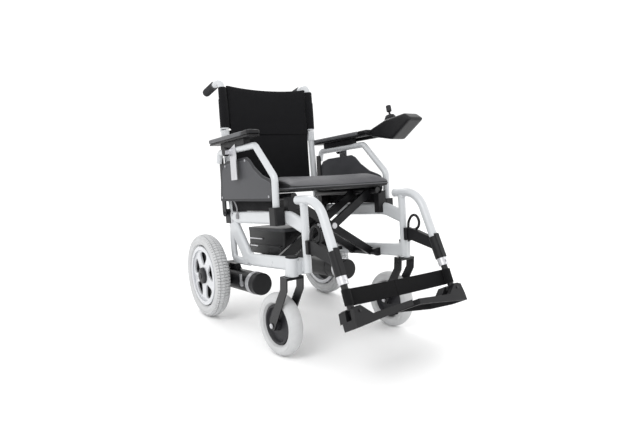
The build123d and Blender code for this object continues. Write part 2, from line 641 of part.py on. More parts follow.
def write(name, shape):
    solids = []
    for piece in shape if isinstance(shape, list) else [shape]:
        solids += piece.solids()
    export_step(Compound(children=solids) if len(solids) > 1 else solids[0], f"parts/{name}.step")


def write_pair(name, shape):
    pieces = shape if isinstance(shape, list) else [shape]
    write(f"{name}_right", pieces)
    write(f"{name}_left", [other_side(p) for p in pieces])


def main():
    os.makedirs("parts", exist_ok=True)
    pairs = dict(side_frame=side_frame(), cane_upper=cane_upper(),
                 push_grip=push_grip(), gear_case=gear_case(), motor=motor(), freewheel_lever=freewheel_lever(),
                 drive_rim=on_drive_axle(drive_rim()), drive_tyre=on_drive_axle(drive_tyre()),
                 hanger_tube=hanger_tube(), hanger_shell=hanger_shell(), leg_tube=leg_tube(),
                 leg_clamp=leg_clamp(),
                 heel_strap=heel_strap(), arm_tube=arm_tube(), arm_bracket=arm_bracket(), side_panel=side_panel())
    for name, shape in pairs.items():
        write_pair(name, shape)
    write("footplate_right", footplate(PLATE_INNER_RIGHT))
    write("footplate_left", other_side(footplate(PLATE_INNER_LEFT)))
    write("arm_pad_right", arm_pad(PAD_FRONT_Y))
    write("arm_pad_left", other_side(arm_pad(PAD_FRONT_LEFT_Y)))
    write("fittings_right", fittings(-150) + [placed(brace_pins())])
    write("fittings_left", [other_side(p) for p in fittings(-250) + [placed(brace_pins())]])
    for name, make in dict(caster_fork=caster_fork, caster_hub=caster_hub, caster_tyre=caster_tyre).items():
        write(f"{name}_right", on_caster_stem(make(), SWIVEL_RIGHT))
        write(f"{name}_left", other_side(on_caster_stem(make(), -SWIVEL_LEFT)))
    write("brace_a", placed(brace(True)))
    write("brace_b", other_side(placed(brace(False))))
    write("brace_pivot", brace_pivot())
    write("seat_cushion", seat_cushion())
    write("back_pad_lower", back_pad(330, FOLD_Z - 1))
    write("back_pad_upper", back_pad(FOLD_Z + 1, CANE_TOP_Z - 23))
    write("battery_box", battery_box())
    write("battery_tray", battery_tray())
    write("controller_case", controller_case())
    write("controller_arm", controller_arm())
    write("joystick", joystick())
    write("joystick_gimbal", joystick_gimbal())
    write("power_button", button(BUTTON_YS[0]))
    write("horn_button", button(BUTTON_YS[1]))
    write("speed_dial", speed_dial())


if __name__ == "__main__":
    main()
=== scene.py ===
# %% [markdown]
# A folding power wheelchair, dressed in Blender. The tubes, wheels, hinges and castings come
# in ready made and stay where they are. What is added here is what a workshop would call the
# trim: tyres with tread, upholstery, pads, straps, screws, and the finish of every surface.

# %% Load the chair
import json
import math
import random

import bpy
from mathutils import Matrix, Vector


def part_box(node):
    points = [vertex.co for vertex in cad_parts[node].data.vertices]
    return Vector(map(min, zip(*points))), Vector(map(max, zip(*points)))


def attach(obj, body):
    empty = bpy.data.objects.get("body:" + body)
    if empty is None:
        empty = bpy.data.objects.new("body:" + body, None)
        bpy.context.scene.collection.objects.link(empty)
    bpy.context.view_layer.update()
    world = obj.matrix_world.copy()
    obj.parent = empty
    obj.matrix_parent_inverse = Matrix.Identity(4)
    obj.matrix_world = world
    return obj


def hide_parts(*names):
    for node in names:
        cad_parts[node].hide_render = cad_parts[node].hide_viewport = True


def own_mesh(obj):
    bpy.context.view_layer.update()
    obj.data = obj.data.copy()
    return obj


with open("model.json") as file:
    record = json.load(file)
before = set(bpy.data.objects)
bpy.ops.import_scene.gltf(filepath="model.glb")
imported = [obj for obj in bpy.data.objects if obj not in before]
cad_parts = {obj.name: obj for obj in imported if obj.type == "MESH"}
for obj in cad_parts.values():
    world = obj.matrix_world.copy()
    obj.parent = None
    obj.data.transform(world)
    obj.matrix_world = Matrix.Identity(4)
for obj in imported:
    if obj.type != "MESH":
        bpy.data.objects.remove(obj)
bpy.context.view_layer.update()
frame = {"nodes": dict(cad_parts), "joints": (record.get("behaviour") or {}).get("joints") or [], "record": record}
joints = {joint["name"]: joint for joint in frame["joints"]}

# %% [markdown]
# The chair's rails climb a little towards the front, so every piece on them is easier to
# place in the rails' own plane. The plane starts at the drive axle. Its z runs square to the
# rails, which is also the axis that the footrests swing about, so both come from the joints.

# %% The plane of the rails
axle = Vector(joints["drive_right"]["pos_m"])
square_up = Vector(joints["hanger_swing_left"]["axis"])
PITCH = math.atan2(square_up.y, square_up.z)
RAILS = Matrix.Translation((0, axle.y, axle.z)) @ Matrix.Rotation(-PITCH, 4, "X")
MIRROR = Matrix.Scale(-1, 4, (1, 0, 0))
SIDES = {"right": -1, "left": 1}


def rail_box(node):
    """Lowest and highest corners of a node, measured in the plane of the rails."""
    back = RAILS.inverted()
    spots = [back @ v.co for v in frame["nodes"][node].data.vertices]
    low = Vector([min(p[i] for p in spots) for i in range(3)])
    return low, Vector([max(p[i] for p in spots) for i in range(3)])


print("the rails climb", round(math.degrees(PITCH), 2), "degrees")

# %% [markdown]
# The camera stands to the front of the user's right hand, at about the height of a seated
# person's chest, with a fairly wide lens. Soft boxes on both sides and a bright room keep the
# white background clean and draw long highlights along the tubes.

# %% Camera, light and floor
EYE = Vector((-1.018, axle.y - 1.8185, 0.6674))
AIM = Vector((0.0, axle.y - 0.336, 0.383))
LENS = 29.27


def add_camera():
    bpy.ops.object.camera_add(location=EYE)
    camera = bpy.context.object
    camera.rotation_euler = (AIM - EYE).to_track_quat("-Z", "Y").to_euler()
    camera.data.lens = LENS
    camera.data.sensor_width = 36
    camera.data.dof.use_dof = False
    bpy.context.scene.camera = camera


def add_softbox(name, place, size, power):
    bpy.ops.object.light_add(type="AREA", location=place)
    light = bpy.context.object
    light.name = name
    light.rotation_euler = (AIM - Vector(place)).to_track_quat("-Z", "Y").to_euler()
    light.data.size = size
    light.data.energy = power


def add_floor():
    bpy.ops.mesh.primitive_plane_add(size=40)
    floor = bpy.context.object
    floor.name = "studio_floor"
    material = bpy.data.materials.new("studio_white")
    material.use_nodes = True
    shader = material.node_tree.nodes["Principled BSDF"]
    shader.inputs["Base Color"].default_value = (0.97, 0.97, 0.97, 1)
    shader.inputs["Roughness"].default_value = 0.9
    floor.data.materials.append(material)


def add_room_light():
    world = bpy.data.worlds.new("room")
    bpy.context.scene.world = world
    world.use_nodes = True
    world.node_tree.nodes["Background"].inputs["Color"].default_value = (1, 1, 1, 1)
    world.node_tree.nodes["Background"].inputs["Strength"].default_value = 1.15


add_camera()
add_softbox("key_left", (-2.6, -1.2, 2.6), 1.6, 42)
add_softbox("fill_right", (2.6, -2.2, 1.6), 2.2, 12)
add_softbox("back_rim", (0.6, 2.4, 2.4), 2.0, 26)
bpy.context.scene.view_settings.view_transform = "Standard"
add_floor()
add_room_light()

# %% [markdown]
# A finish is a Principled shader and the few textures that feed it. Writing the textures'
# sums as plain arithmetic keeps a finish readable, so a small class stands for a socket, and
# adding or multiplying two of them adds the Math node. Colours go through a Mix node.

# %% Signals and finishes


class Signal:
    """A socket that sums can be written on."""

    def __init__(self, finish, socket):
        self.finish, self.socket = finish, socket

    def math(self, operation, first, second):
        return self.finish.node("ShaderNodeMath", {"operation": operation}, {0: first, 1: second})

    def __add__(self, other):
        return self.math("ADD", self, other)

    __radd__ = __add__

    def __mul__(self, other):
        return self.math("MULTIPLY", self, other)

    __rmul__ = __mul__

    def __sub__(self, other):
        return self.math("SUBTRACT", self, other)

    def __rsub__(self, other):
        return self.math("SUBTRACT", other, self)

    def power(self, exponent):
        return self.math("POWER", self, exponent)


class Finish:
    """One material: its shader, and helpers that add the nodes in front of it."""

    def __init__(self, name, roughness=0.5, metallic=0.0, coat=0.0, sheen=0.0, specular=0.5):
        self.material = bpy.data.materials.new(name)
        self.material.use_nodes = True
        self.tree = self.material.node_tree
        self.shader = self.tree.nodes["Principled BSDF"]
        fixed = {"Roughness": roughness, "Metallic": metallic, "Coat Weight": coat,
                 "Coat Roughness": 0.25, "Sheen Weight": sheen, "Specular IOR Level": specular}
        for name, value in fixed.items():
            self.shader.inputs[name].default_value = value
        self.place = self.node("ShaderNodeTexCoord", output="Object")

    def node(self, kind, settings=None, inputs=None, output=0):
        node = self.tree.nodes.new(kind)
        for key, value in (settings or {}).items():
            setattr(node, key, value)
        for key, value in (inputs or {}).items():
            self.put(node.inputs[key], value)
        return Signal(self, node.outputs[output])

    def put(self, socket, value):
        if isinstance(value, Signal):
            self.tree.links.new(value.socket, socket)
        else:
            socket.default_value = value

    def feed(self, name, value):
        self.put(self.shader.inputs[name], value)

    def noise(self, scale, detail=3.0, place=None):
        inputs = {"Vector": place or self.place, "Scale": scale, "Detail": detail}
        return self.node("ShaderNodeTexNoise", {}, inputs)

    def cells(self, scale, feature="F1"):
        inputs = {"Vector": self.place, "Scale": scale}
        return self.node("ShaderNodeTexVoronoi", {"feature": feature}, inputs)

    def bands(self, scale, direction, distortion=0.0):
        settings = {"wave_type": "BANDS", "bands_direction": direction}
        inputs = {"Vector": self.place, "Scale": scale, "Distortion": distortion}
        return self.node("ShaderNodeTexWave", settings, inputs)

    def shade(self, factor, dark, light):
        """Base Color between two tones."""
        settings = {"data_type": "RGBA"}
        inputs = {0: factor, 6: (*dark, 1), 7: (*light, 1)}
        self.feed("Base Color", self.node("ShaderNodeMix", settings, inputs, output=2))

    def relief(self, height, strength, depth):
        inputs = {"Height": height, "Strength": strength, "Distance": depth}
        self.feed("Normal", self.node("ShaderNodeBump", {}, inputs))


def tone(colour, factor):
    return tuple(min(1.0, c * factor) for c in colour)


# %% [markdown]
# Painted tube is not one flat grey. Spray enamel dries with a faint orange peel and a slow
# change of tone along the tube, and hands and dust dull it in patches. Two noises do that: a
# fine one for the surface, and a coarse one that moves both the colour and the gloss.

# %% Painted finishes


def enamel(name, colour, roughness, coat=0.4, specular=0.5):
    finish = Finish(name, roughness, 0.0, coat, 0.0, specular)
    patches = finish.noise(14.0)
    finish.shade(patches, tone(colour, 0.93), tone(colour, 1.05))
    finish.feed("Roughness", patches * 0.16 + (roughness - 0.08))
    finish.relief(finish.noise(420.0), 0.12, 0.0004)
    return finish.material


def metal(name, colour, roughness):
    finish = Finish(name, roughness, 1.0)
    streaks = finish.noise(60.0)
    finish.shade(streaks, tone(colour, 0.85), tone(colour, 1.08))
    finish.feed("Roughness", streaks * 0.2 + (roughness - 0.1))
    finish.relief(finish.noise(900.0), 0.1, 0.0002)
    return finish.material


silver_enamel = enamel("silver_enamel", (0.5, 0.515, 0.53), 0.3)
rim_enamel = enamel("rim_enamel", (0.55, 0.56, 0.58), 0.32)
black_enamel = enamel("black_enamel", (0.007, 0.007, 0.008), 0.3, 0.12, 0.3)
motor_enamel = enamel("motor_enamel", (0.005, 0.005, 0.006), 0.4, 0.05, 0.25)
zinc_plate = metal("zinc_plate", (0.62, 0.62, 0.64), 0.34)

# %% [markdown]
# Moulded plastic takes its grain from the tool: small soft cells, a fraction of a millimetre
# deep. Rubber is duller, with a little dust in it. Both are cells or noise put through Bump.

# %% Plastics and rubber


def plastic(name, colour, roughness, grain=700.0, depth=0.0004):
    finish = Finish(name, roughness, specular=0.26)
    patches = finish.noise(22.0)
    finish.shade(patches, tone(colour, 0.8), tone(colour, 1.25))
    finish.feed("Roughness", patches * 0.14 + (roughness - 0.07))
    finish.relief(finish.cells(grain), 0.22, depth)
    return finish.material


def rubber(name, colour, roughness=0.72):
    finish = Finish(name, roughness, specular=0.35)
    dust = finish.noise(34.0, 6.0)
    speck = finish.noise(260.0, 2.0)
    finish.shade(dust * 0.7 + speck * 0.3, tone(colour, 0.82), tone(colour, 1.12))
    finish.feed("Roughness", speck * 0.16 + (roughness - 0.06))
    finish.relief(finish.noise(640.0), 0.3, 0.0005)
    return finish.material


casting_black = plastic("casting_black", (0.007, 0.007, 0.008), 0.44)
gloss_black = plastic("gloss_black", (0.008, 0.008, 0.009), 0.3, 900.0, 0.0002)
panel_grey = plastic("panel_grey", (0.052, 0.053, 0.058), 0.45, 520.0, 0.0006)
panel_border = plastic("panel_border", (0.02, 0.02, 0.023), 0.5)
strap_grey = plastic("strap_grey", (0.2, 0.2, 0.21), 0.5)
pad_grey = plastic("pad_grey", (0.095, 0.097, 0.103), 0.5, 420.0, 0.0006)
plate_grey = plastic("plate_grey", (0.008, 0.008, 0.009), 0.5)
tyre_grey = rubber("tyre_grey", (0.5, 0.505, 0.51))
# A darker copy of the tyre rubber for the tread's valleys: painted shade.
tyre_groove_shade = rubber("tyre_groove_shade", (0.2, 0.203, 0.207), 0.8)
grip_black = rubber("grip_black", (0.016, 0.016, 0.018), 0.6)
hub_grey = plastic("hub_grey", (0.02, 0.02, 0.023), 0.45)

# %% [markdown]
# Cloth is threads over and under each other. Two band patterns at right angles, about a
# millimetre apart, give the relief, and their product darkens the gaps between the threads.
# The seat's cover is cloth with a vinyl coat, so it shows a fine leather-like grain instead.

# %% Cloth, webbing and coated cover


def weave(name, colour, pitch, across, along, relief=0.5, roughness=0.85):
    finish = Finish(name, roughness, sheen=0.04, specular=0.12)
    scale = 0.314 / pitch
    warp, weft = finish.bands(scale, across, 0.6), finish.bands(scale, along, 0.6)
    threads = warp * 0.5 + weft * 0.5
    lint = finish.noise(30.0, 5.0)
    finish.shade(threads * 0.6 + lint * 0.4, tone(colour, 0.55), tone(colour, 1.5))
    finish.relief(threads, relief, 0.0008)
    return finish.material


def coated_cover(name, colour):
    finish = Finish(name, 0.42, specular=0.3)
    creases = finish.cells(330.0, "DISTANCE_TO_EDGE")
    wear = finish.noise(9.0, 4.0)
    finish.shade(wear, tone(colour, 0.85), tone(colour, 1.25))
    finish.feed("Roughness", wear * 0.18 + 0.34)
    finish.relief(creases.power(0.5), 0.35, 0.0006)
    return finish.material


back_cloth = weave("back_cloth", (0.006, 0.006, 0.007), 0.0011, "X", "Z")
webbing_black = weave("webbing_black", (0.006, 0.006, 0.0065), 0.0016, "X", "Z", 0.7)
# The seat top's grey is a lighter copy of the black cover: painted sheen.
seat_cover_painted_sheen = coated_cover("seat_cover_painted_sheen", (0.07, 0.07, 0.076))
pad_cover = coated_cover("pad_cover", (0.007, 0.007, 0.008))

# %% [markdown]
# The finished CAD pieces keep their meshes and only change their material. A table from the
# first words of a node's name to its finish covers both sides of the chair at once.

# %% Dress the ready-made pieces
DRESS = {
    "side_frame": silver_enamel, "fittings": casting_black, "cane_upper": silver_enamel,
    "push_grip": grip_black, "gear_case": motor_enamel, "motor": motor_enamel,
    "freewheel_lever": zinc_plate, "drive_rim": rim_enamel, "drive_tyre": tyre_grey,
    "hanger_tube": silver_enamel, "hanger_shell": casting_black, "leg_tube": black_enamel,
    "leg_clamp": zinc_plate, "heel_strap": webbing_black, "footplate": plate_grey, "arm_tube": silver_enamel,
    "arm_bracket": zinc_plate, "side_panel": panel_grey, "arm_pad": pad_cover,
    "caster_fork": black_enamel, "caster_hub": hub_grey, "caster_tyre": tyre_grey,
    "brace_a": black_enamel, "brace_b": black_enamel, "brace_pivot": zinc_plate,
    "seat_cushion": seat_cover_painted_sheen, "back_pad": back_cloth, "battery_box": gloss_black,
    "battery_tray": black_enamel, "controller_case": gloss_black, "controller_arm": casting_black,
    "joystick_gimbal": zinc_plate, "joystick": grip_black, "power_button": hub_grey,
    "horn_button": hub_grey, "speed_dial": hub_grey,
}


def finish_for(node):
    return next(material for start, material in DRESS.items() if node.startswith(start))


for name, node in frame["nodes"].items():
    node.data.materials.clear()
    node.data.materials.append(finish_for(name))
print("dressed", len(frame["nodes"]), "nodes")


def tint(node, material, test):
    """Give a second finish to the faces of a node whose middle, in the rails' plane, passes."""
    mesh, back = frame["nodes"][node].data, RAILS.inverted()
    mesh.materials.append(material)
    for face in mesh.polygons:
        if test(back @ face.center):
            face.material_index = len(mesh.materials) - 1


CHANNEL_Z, CLAMP_OUT = 0.4635, 0.2385
for side in SIDES:
    tint(f"arm_bracket_{side}", casting_black,
         lambda spot: spot.z > CHANNEL_Z or abs(spot.x) < CLAMP_OUT or spot.y > -0.204)

# %% [markdown]
# Hand modelling in a script is the same few moves over and over: clear the selection, add a
# primitive, pick faces by where they are, run an operator in edit mode, and settle the result
# into the mesh. These helpers name those moves.

# %% Modelling helpers


def clear_selection():
    if bpy.context.object and bpy.context.object.mode != "OBJECT":
        bpy.ops.object.mode_set(mode="OBJECT")
    bpy.ops.object.select_all(action="DESELECT")


def pick(piece, test):
    """Select the faces whose middle and normal pass a test."""
    bpy.ops.object.mode_set(mode="OBJECT")
    mesh = piece.data
    mesh.vertices.foreach_set("select", [False] * len(mesh.vertices))
    mesh.edges.foreach_set("select", [False] * len(mesh.edges))
    mesh.polygons.foreach_set("select", [bool(test(f.center, f.normal)) for f in mesh.polygons])
    bpy.ops.object.mode_set(mode="EDIT")
    bpy.ops.mesh.select_mode(type="FACE")


def modify(piece, kind, **settings):
    modifier = piece.modifiers.new(kind.lower(), kind)
    for key, value in settings.items():
        setattr(modifier, key, value)
    bpy.context.view_layer.objects.active = piece
    bpy.ops.object.modifier_apply(modifier=modifier.name)


def soften(piece, width, segments=2, angle=35):
    modify(piece, "BEVEL", width=width, segments=segments, limit_method="ANGLE",
           angle_limit=math.radians(angle))


def settle(piece, name, matrix, material, smooth=35):
    """Put a finished piece in its place, with the place in its mesh."""
    clear_selection()
    piece.select_set(True)
    bpy.context.view_layer.objects.active = piece
    piece.data.transform(matrix @ piece.matrix_world)
    piece.matrix_world = Matrix.Identity(4)
    if matrix.determinant() < 0:
        piece.data.flip_normals()
    piece.name = name
    marks = [face.material_index for face in piece.data.polygons]
    piece.data.materials.clear()
    piece.data.materials.append(material)
    for face, mark in zip(piece.data.polygons, marks):
        face.material_index = mark
    bpy.ops.object.shade_smooth_by_angle(angle=math.radians(smooth))
    return piece


def twin(piece, name):
    """The same piece on the other side of the chair."""
    other = piece.copy()
    other.data = piece.data.copy()
    bpy.context.scene.collection.objects.link(other)
    other.data.transform(MIRROR)
    other.data.flip_normals()
    other.name = name
    return other


def block(low, high):
    clear_selection()
    low, high = Vector(low), Vector(high)
    bpy.ops.mesh.primitive_cube_add(size=1, location=(low + high) / 2)
    piece = bpy.context.object
    piece.scale = high - low
    bpy.ops.object.transform_apply(location=True, rotation=True, scale=True)
    return piece


def drum(radius, depth, place, axis="X", sides=48):
    clear_selection()
    turn = {"X": (0, math.pi / 2, 0), "Y": (math.pi / 2, 0, 0), "Z": (0, 0, 0)}[axis]
    bpy.ops.mesh.primitive_cylinder_add(vertices=sides, radius=radius, depth=depth,
                                        location=place, rotation=turn)
    piece = bpy.context.object
    bpy.ops.object.transform_apply(location=True, rotation=True, scale=True)
    return piece


def lathe(profile, steps=64):
    """Turn a closed profile of (out, along) points about the x axis."""
    clear_selection()
    mesh = bpy.data.meshes.new("profile")
    ends = [(i, (i + 1) % len(profile)) for i in range(len(profile))]
    mesh.from_pydata([(along, 0, out) for out, along in profile], ends, [])
    piece = bpy.data.objects.new("turned", mesh)
    bpy.context.scene.collection.objects.link(piece)
    piece.select_set(True)
    bpy.context.view_layer.objects.active = piece
    bpy.ops.object.mode_set(mode="EDIT")
    bpy.ops.mesh.select_all(action="SELECT")
    bpy.ops.mesh.spin(steps=steps, angle=2 * math.pi, center=(0, 0, 0), axis=(1, 0, 0))
    bpy.ops.mesh.select_all(action="SELECT")
    bpy.ops.mesh.remove_doubles(threshold=0.00001)
    bpy.ops.mesh.normals_make_consistent(inside=False)
    bpy.ops.object.mode_set(mode="OBJECT")
    return piece


DRAWN_UP = 100


def flat_plate(loops, thickness, edge):
    """A plate in the yz plane from an outline and the holes in it, with a rounded edge.

    A curve's fill goes wrong between points a hair apart, so it is drawn large and shrunk."""
    clear_selection()
    curve = bpy.data.curves.new("plate", "CURVE")
    curve.dimensions = "2D"
    curve.fill_mode = "BOTH"
    curve.extrude = (thickness / 2 - edge) * DRAWN_UP
    curve.bevel_depth = edge * DRAWN_UP
    curve.bevel_resolution = 1
    for loop in loops:
        spline = curve.splines.new("POLY")
        spline.points.add(len(loop) - 1)
        spline.use_cyclic_u = True
        for point, (y, z) in zip(spline.points, loop):
            point.co = (y * DRAWN_UP, z * DRAWN_UP, 0, 1)
    piece = bpy.data.objects.new("plate", curve)
    bpy.context.scene.collection.objects.link(piece)
    piece.select_set(True)
    bpy.context.view_layer.objects.active = piece
    bpy.ops.object.convert(target="MESH")
    piece = bpy.context.object
    upright = Matrix(((0, 0, 1, 0), (1, 0, 0, 0), (0, 1, 0, 0), (0, 0, 0, 1)))
    piece.data.transform(upright @ Matrix.Scale(1 / DRAWN_UP, 4))
    bpy.ops.object.mode_set(mode="EDIT")
    bpy.ops.mesh.select_all(action="SELECT")
    bpy.ops.mesh.remove_doubles(threshold=0.00001)
    bpy.ops.mesh.normals_make_consistent(inside=False)
    bpy.ops.object.mode_set(mode="OBJECT")
    return piece


def pipe(points, radius, cyclic=False, smooth=True):
    """A round bar along a smooth line through points."""
    clear_selection()
    curve = bpy.data.curves.new("pipe", "CURVE")
    curve.dimensions = "3D"
    curve.bevel_depth = radius
    curve.bevel_resolution = 3
    curve.use_fill_caps = True
    curve.resolution_u = 8
    spline = curve.splines.new("BEZIER" if smooth else "POLY")
    if smooth:
        spline.bezier_points.add(len(points) - 1)
        for knot, point in zip(spline.bezier_points, points):
            knot.co = point
            knot.handle_left_type = knot.handle_right_type = "AUTO"
    else:
        spline.points.add(len(points) - 1)
        for knot, point in zip(spline.points, points):
            knot.co = (*point, 1)
    spline.use_cyclic_u = cyclic
    piece = bpy.data.objects.new("pipe", curve)
    bpy.context.scene.collection.objects.link(piece)
    piece.select_set(True)
    bpy.context.view_layer.objects.active = piece
    bpy.ops.object.convert(target="MESH")
    return bpy.context.object


def fit(piece, low, high):
    """Scale a piece to fill a box exactly."""
    spots = [v.co for v in piece.data.vertices]
    old_low = Vector([min(p[i] for p in spots) for i in range(3)])
    old_high = Vector([max(p[i] for p in spots) for i in range(3)])
    for vertex in piece.data.vertices:
        share = [(vertex.co[i] - old_low[i]) / (old_high[i] - old_low[i]) for i in range(3)]
        vertex.co = [low[i] + share[i] * (high[i] - low[i]) for i in range(3)]
    return piece


def join(pieces):
    clear_selection()
    for piece in pieces:
        piece.select_set(True)
    bpy.context.view_layer.objects.active = pieces[0]
    bpy.ops.object.join()
    return pieces[0]


# %% [markdown]
# A knobbly tyre is a fat ring with rows of raised blocks. The ring is a torus. Every second
# face of its outer rows is inset a little and pushed out in one move, which leaves tapered
# blocks with a groove between them, like a mould does.

# %% Drive tyres
TYRE_RING, TYRE_FAT, TYRE_SPREAD = 0.1335, 0.0204, 1.36
TREAD_STEPS, TREAD_ROWS, TREAD_LEAN = 84, 12, 1.3


def shade_grooves(tyre):
    """The valleys of the tread take a darker copy of the rubber, which is painted shade."""
    for face in tyre.data.polygons:
        ring = math.hypot(face.center.y, face.center.z)
        high = math.hypot(face.center.x / TYRE_SPREAD, ring - TYRE_RING)
        lean = abs(math.atan2(face.center.x / TYRE_SPREAD, ring - TYRE_RING))
        face.material_index = 1 if lean < TREAD_LEAN and high < TYRE_FAT + 0.0006 else 0


def drive_tyre():
    clear_selection()
    bpy.ops.mesh.primitive_torus_add(major_radius=TYRE_RING, minor_radius=TYRE_FAT,
                                     major_segments=TREAD_STEPS, minor_segments=TREAD_ROWS,
                                     rotation=(0, math.pi / 2, 0))
    tyre = bpy.context.object
    bpy.ops.object.transform_apply(location=True, rotation=True, scale=True)
    tyre.data.transform(Matrix.Scale(TYRE_SPREAD, 4, (1, 0, 0)))

    def tread(middle, normal):
        ring = math.hypot(middle.y, middle.z)
        lean = math.atan2(middle.x / TYRE_SPREAD, ring - TYRE_RING)
        step = round(math.atan2(middle.z, middle.y) / (2 * math.pi / TREAD_STEPS) - 0.5)
        rank = round(lean / (2 * math.pi / TREAD_ROWS) - 0.5)
        return abs(lean) < TREAD_LEAN and (step + rank) % 2 == 0

    pick(tyre, tread)
    bpy.ops.mesh.inset(thickness=0.0012, depth=0.004, use_individual=True)
    bpy.ops.object.mode_set(mode="OBJECT")
    shade_grooves(tyre)
    for side in (-1, 1):
        pick(tyre, lambda middle, normal: 0.118 < math.hypot(middle.y, middle.z) < 0.1245
             and middle.x * side > 0)
        bpy.ops.mesh.inset(thickness=0.001, depth=0.0012)
        bpy.ops.object.mode_set(mode="OBJECT")
    return tyre


wheel_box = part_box("drive_rim_right")
wheel_centre = Vector(((wheel_box[0].x + wheel_box[1].x) / 2, axle.y, axle.z))
wheel_centre.x = -(abs(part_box("drive_tyre_right")[0].x) + abs(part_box("drive_tyre_right")[1].x)) / 2
tyre = settle(drive_tyre(), "knobbly_tyre_right", Matrix.Translation(wheel_centre), tyre_grey, 30)
# The second slot holds the painted shade of the tread's valleys.
tyre.data.materials.append(tyre_groove_shade)
tyre_left = twin(tyre, "knobbly_tyre_left")
for side, piece in (("right", tyre), ("left", tyre_left)):
    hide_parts(f"drive_tyre_{side}")
    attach(piece, f"drive_wheel_{side}")
print("tyre faces", len(tyre.data.polygons))

# %% [markdown]
# The wheel is a cast five-spoke rim. Its face is a flat curve with five windows in it, filled
# and given a rounded edge. Behind the windows sits a dark drum cover, and a turned barrel
# carries the tyre. The hub cap is turned too.

# %% Drive wheel rims
RIM_OUT, WINDOW_OUT, WINDOW_IN, SPOKES = 0.1125, 0.0935, 0.038, 5


def window(turn, points=28):
    """One rounded window, wider outside than inside."""
    loop = []
    for i in range(points):
        a = 2 * math.pi * i / points
        share = 0.5 + 0.5 * math.copysign(abs(math.cos(a)) ** 0.75, math.cos(a))
        out = WINDOW_IN + share * (WINDOW_OUT - WINDOW_IN)
        half = 0.28 + 0.22 * share
        swing = turn + half * math.copysign(abs(math.sin(a)) ** 0.8, math.sin(a))
        loop.append((out * math.cos(swing), out * math.sin(swing)))
    return loop


def circle(radius, points=96):
    step = 2 * math.pi / points
    return [(radius * math.cos(i * step), radius * math.sin(i * step)) for i in range(points)]


def rim_face():
    turns = [2 * math.pi * (i + 0.25) / SPOKES for i in range(SPOKES)]
    return flat_plate([circle(WINDOW_OUT + 0.008)] + [window(t) for t in turns], 0.009, 0.0022)


def rim_barrel():
    return lathe([(0.0985, 0.0235), (0.1035, 0.0245), (RIM_OUT, 0.0225), (RIM_OUT, -0.0225),
                  (0.1035, -0.0245), (0.0985, -0.0235), (0.0995, 0.0)], 96)


def hub_cap():
    return lathe([(0.0001, 0.0), (0.0001, 0.0165), (0.010, 0.0165), (0.012, 0.0135),
                  (0.026, 0.0125), (0.0305, 0.009), (0.031, 0.0)], 48)


wheel_parts = [
    ("rim_barrel", rim_barrel, 0.0, rim_enamel, "rim_silver"),
    ("rim_face", rim_face, 0.013, rim_enamel, "rim_silver"),
    ("drum_cover", lambda: drum(0.0982, 0.004, (0, 0, 0), "X", 96), 0.002, casting_black,
     "rim_silver"),
    ("hub_cap", hub_cap, 0.0165, hub_grey, "rim_silver"),
]
for side, k in SIDES.items():
    for name, make, out, material, slot in wheel_parts:
        face_out = Matrix.Translation((wheel_centre.x * -k, axle.y, axle.z))
        mirrored = MIRROR if k < 0 else Matrix.Identity(4)
        place = face_out @ mirrored @ Matrix.Translation((out, 0, 0))
        piece = settle(make(), f"{name}_{side}", place, material)
        if name == "rim_barrel":
            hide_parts(f"drive_rim_{side}")
        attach(piece, f"drive_wheel_{side}")

# %% [markdown]
# A caster tyre is smooth, with two moulding lines round its shoulders. Each caster points its
# own way, so the ring is turned to lie on its axle, which the joint gives.

# %% Caster tyres
CASTER_RING, CASTER_FAT, CASTER_SPREAD = 0.0815, 0.0183, 1.3


def caster_tyre():
    clear_selection()
    bpy.ops.mesh.primitive_torus_add(major_radius=CASTER_RING, minor_radius=CASTER_FAT,
                                     major_segments=96, minor_segments=28,
                                     rotation=(0, math.pi / 2, 0))
    ring = bpy.context.object
    bpy.ops.object.transform_apply(location=True, rotation=True, scale=True)
    ring.data.transform(Matrix.Scale(CASTER_SPREAD, 4, (1, 0, 0)))
    for low, high, depth in ((0.0865, 0.0905, -0.0008), (0.0705, 0.0745, 0.0008)):
        for side in (-1, 1):
            pick(ring, lambda middle, normal: low < math.hypot(middle.y, middle.z) < high
                 and middle.x * side > 0.01)
            bpy.ops.mesh.inset(thickness=0.0008, depth=depth)
            bpy.ops.object.mode_set(mode="OBJECT")
    return ring


for side in SIDES:
    joint = joints[f"caster_roll_{side}"]
    turn = Vector((1, 0, 0)).rotation_difference(Vector(joint["axis"])).to_matrix().to_4x4()
    place = Matrix.Translation(Vector(joint["pos_m"])) @ turn
    piece = settle(caster_tyre(), f"smooth_tyre_{side}", place, tyre_grey)
    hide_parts(f"caster_tyre_{side}")
    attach(piece, f"caster_wheel_{side}")

# %% [markdown]
# Upholstery swells where it is free and stays flat where it is held. A closed block is
# remeshed into even small faces and filled with a little air in a cloth simulation, and no
# point may move further than a cap, so the cushion stays inside its place on the chair.

# %% Stuffed pieces
VOXEL = 0.006


def swell(piece, cap, pressure=4.0, frames=20):
    """Fill a closed shape with air, keep each point within the cap, and keep the result."""
    modify(piece, "REMESH", mode="VOXEL", voxel_size=VOXEL)
    start = [v.co.copy() for v in piece.data.vertices]
    cloth = piece.modifiers.new("air", "CLOTH")
    cloth.settings.use_pressure = True
    cloth.settings.uniform_pressure_force = pressure
    cloth.settings.effector_weights.gravity = 0
    scene = bpy.context.scene
    for number in range(1, frames + 1):
        scene.frame_set(number)
    shaped = piece.evaluated_get(bpy.context.evaluated_depsgraph_get())
    spots = [v.co.copy() for v in shaped.data.vertices]
    piece.modifiers.remove(cloth)
    scene.frame_set(1)
    for vertex, old, new in zip(piece.data.vertices, start, spots):
        move = new - old
        if move.length > cap:
            move = move.normalized() * cap
        vertex.co = old + move
    modify(piece, "SMOOTH", factor=0.6, iterations=4)
    modify(piece, "SUBSURF", levels=1, render_levels=1)
    return piece


